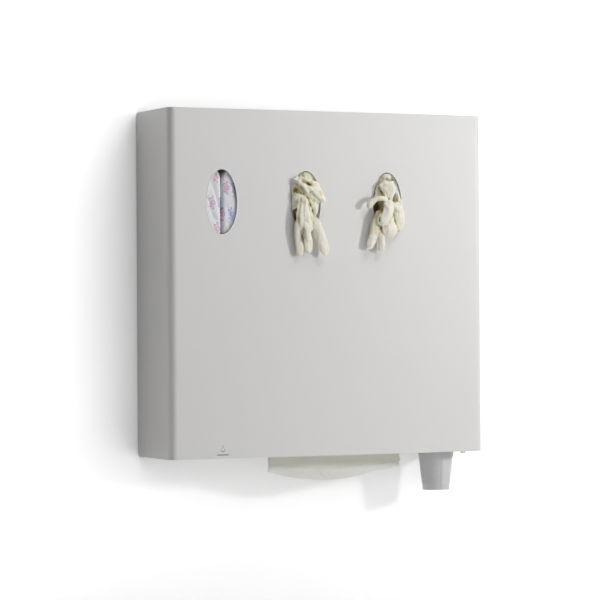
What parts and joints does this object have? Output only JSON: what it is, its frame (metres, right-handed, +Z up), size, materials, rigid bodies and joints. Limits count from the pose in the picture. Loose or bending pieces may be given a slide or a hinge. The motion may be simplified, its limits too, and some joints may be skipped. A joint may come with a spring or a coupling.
{
  "type": "disposable glove dispenser",
  "caption": "Wall cabinet with a hinged, lockable sheet-steel cover; hands out gloves and wrapped pads through upright ovals, and towels, cups and soap below.",
  "frame": {"origin": "middle of the wall screw pattern, on the wall face of the rear pan", "axes": "+X to the right seen from the front, +Y into the wall, +Z up"},
  "size_m": [0.55, 0.1599, 0.6105],
  "materials": {
    "powder_coat": "satin",
    "zinc_plated_sheet": "satin",
    "latex": "matte",
    "printed_film": "gloss",
    "carton_board": "matte",
    "embossed_tissue": "matte",
    "cup_plastic": "satin",
    "collar_plastic": "matte",
    "tube_plastic": "gloss",
    "pump_plastic": "matte",
    "bottle_plastic": "satin",
    "sensor_plastic": "gloss",
    "buffer_rubber": "matte",
    "washer_nylon": "matte",
    "pin_steel": "satin",
    "cell_jacket": "gloss",
    "lock_chrome": "gloss",
    "lock_steel": "satin"
  },
  "bodies": {
    "cabinet": {"battery_1": "cell_jacket", "battery_2": "cell_jacket", "battery_3": "cell_jacket", "battery_4": "cell_jacket", "carton_guide_1": "zinc_plated_sheet", "carton_guide_2": "zinc_plated_sheet", "carton_guide_3": "zinc_plated_sheet", "carton_guide_4": "zinc_plated_sheet", "carton_shelf": "zinc_plated_sheet", "cover_buffers": "buffer_rubber", "cup_1": "cup_plastic", "cup_2": "cup_plastic", "cup_3": "cup_plastic", "cup_4": "cup_plastic", "cup_5": "cup_plastic", "cup_6": "cup_plastic", "cup_collar": "collar_plastic", "cup_tube": "tube_plastic", "glove_carton_middle": "carton_board", "glove_carton_right": "carton_board", "glove_pack_middle": "latex", "glove_pack_right": "latex", "hanging_towel": "embossed_tissue", "hinge_pins": "pin_steel", "hinge_washers": "washer_nylon", "lock_barrel": "lock_chrome", "lock_nut": "lock_chrome", "pad_carton": "carton_board", "pump_unit": "pump_plastic", "rear_pan": "powder_coat", "sensor_window": "sensor_plastic", "soap_bottle": "bottle_plastic", "soap_nozzle": "pump_plastic", "towel_magazine": "zinc_plated_sheet", "towel_stack": "embossed_tissue", "tube_clip_lower": "zinc_plated_sheet", "tube_clip_upper": "zinc_plated_sheet", "wrapped_pad_1": "printed_film", "wrapped_pad_2": "printed_film", "wrapped_pad_3": "printed_film"},
    "cover": {"front_cover": "powder_coat", "lock_keeper": "zinc_plated_sheet", "glove_middle": "latex", "glove_right": "latex"},
    "lock_plug_body": {"lock_plug": "lock_steel", "lock_cam": "lock_steel", "cam_screw": "lock_steel"}
  },
  "joints": [
    {"name": "cover_hinge", "type": "hinge", "parent": "cabinet", "child": "cover", "pos_m": [-0.268, -0.012, 0], "axis": [0, 0, -1], "range_deg": [0, 90]},
    {"name": "lock_turn", "type": "hinge", "parent": "cabinet", "child": "lock_plug_body", "pos_m": [0.251, -0.112, -0.27], "axis": [0, 0, 1], "range_deg": [0, 90]}
  ]
}
